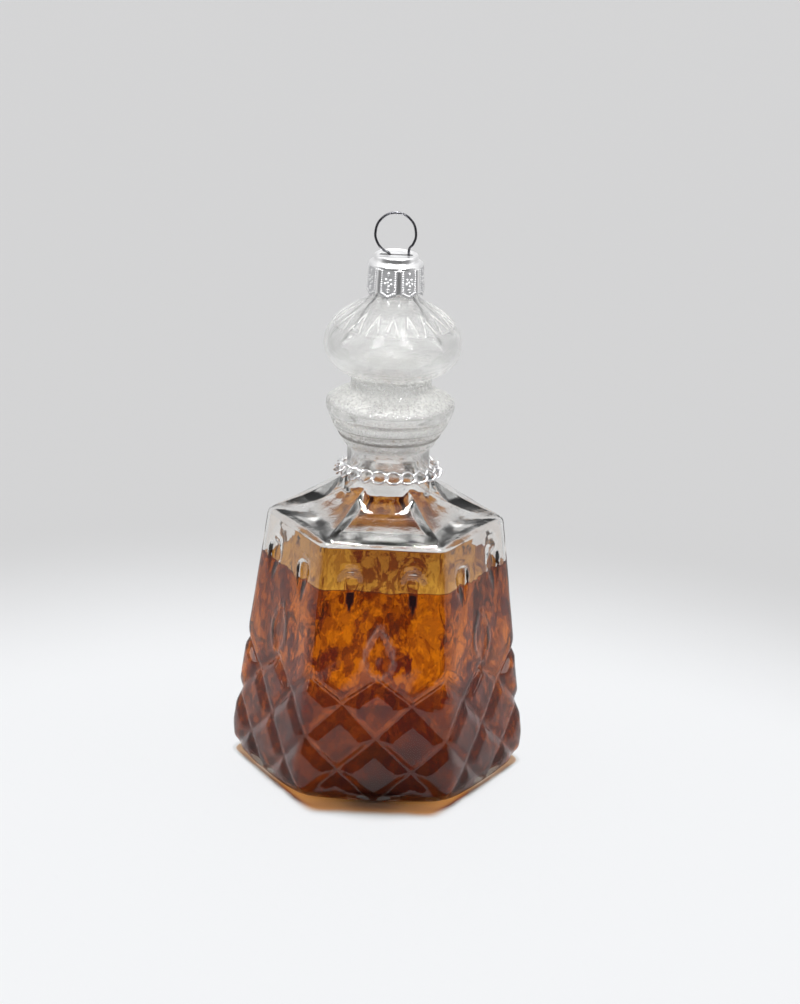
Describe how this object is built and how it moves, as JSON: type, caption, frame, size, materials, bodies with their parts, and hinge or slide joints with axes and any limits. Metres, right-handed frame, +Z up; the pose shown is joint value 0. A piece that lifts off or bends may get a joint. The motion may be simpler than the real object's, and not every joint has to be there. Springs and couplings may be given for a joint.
{
  "type": "hanging glass ornament",
  "caption": "Hollow six-sided glass ornament shaped like a stoppered spirit decanter, with an amber coat inside, a metal cap with a wire ring, and a chain round its neck.",
  "frame": {"origin": "on the glass's axis, in the plane of the flat base that it stands on", "axes": "+Z up along the glass's axis; one flat side of the body faces -Y and two of its corners lie on +X and -X"},
  "size_m": [0.0596, 0.0516, 0.1146],
  "materials": {
    "clear_glass": "clear mouth-blown glass, glossy",
    "amber_lacquer": "transparent mottled amber lacquer",
    "bright_cap": "bright pressed tinplate",
    "spring_wire": "drawn spring wire",
    "silver_chain": "bright plated chain"
  },
  "bodies": {
    "glass": {"glass_shell": "clear_glass", "amber_coat": "amber_lacquer"},
    "cap": {"ornament_cap": "bright_cap"},
    "hanger": {"hanger_wire": "spring_wire"},
    "chain_sides": {"chain_link_01": "silver_chain", "chain_link_11": "silver_chain"},
    "chain_front": {"chain_link_12": "silver_chain", "chain_link_13": "silver_chain", "chain_link_14": "silver_chain", "chain_link_15": "silver_chain", "chain_link_16": "silver_chain", "chain_link_17": "silver_chain", "chain_link_18": "silver_chain", "chain_link_19": "silver_chain", "chain_link_20": "silver_chain", "chain_link_21": "silver_chain"},
    "chain_back": {"chain_link_02": "silver_chain", "chain_closing_ring": "silver_chain", "chain_link_03": "silver_chain", "chain_link_04": "silver_chain", "chain_link_05": "silver_chain", "chain_link_06": "silver_chain", "chain_link_07": "silver_chain", "chain_link_08": "silver_chain", "chain_link_09": "silver_chain", "chain_link_10": "silver_chain"}
  },
  "joints": [
    {"name": "cap_lift", "type": "slide", "parent": "glass", "child": "cap", "axis": [0, 0, 1], "range_m": [0, 0.02], "deforming": ["hanger_wire"]},
    {"name": "hanger_rock", "type": "hinge", "parent": "cap", "child": "hanger", "pos_m": [0, 0, 0.10602], "axis": [1, 0, 0], "range_deg": [-8, 8]},
    {"name": "chain_turn", "type": "hinge", "parent": "glass", "child": "chain_sides", "pos_m": [0, 0, 0.06206], "axis": [0, 0, 1], "continuous": true},
    {"name": "chain_front_swing", "type": "hinge", "parent": "chain_sides", "child": "chain_front", "pos_m": [0, -0.00142, 0.06218], "axis": [-1, 0, 0], "range_deg": [0, 14]},
    {"name": "chain_back_swing", "type": "hinge", "parent": "chain_sides", "child": "chain_back", "pos_m": [0, 0.00142, 0.06194], "axis": [1, 0, 0], "range_deg": [0, 20]}
  ]
}
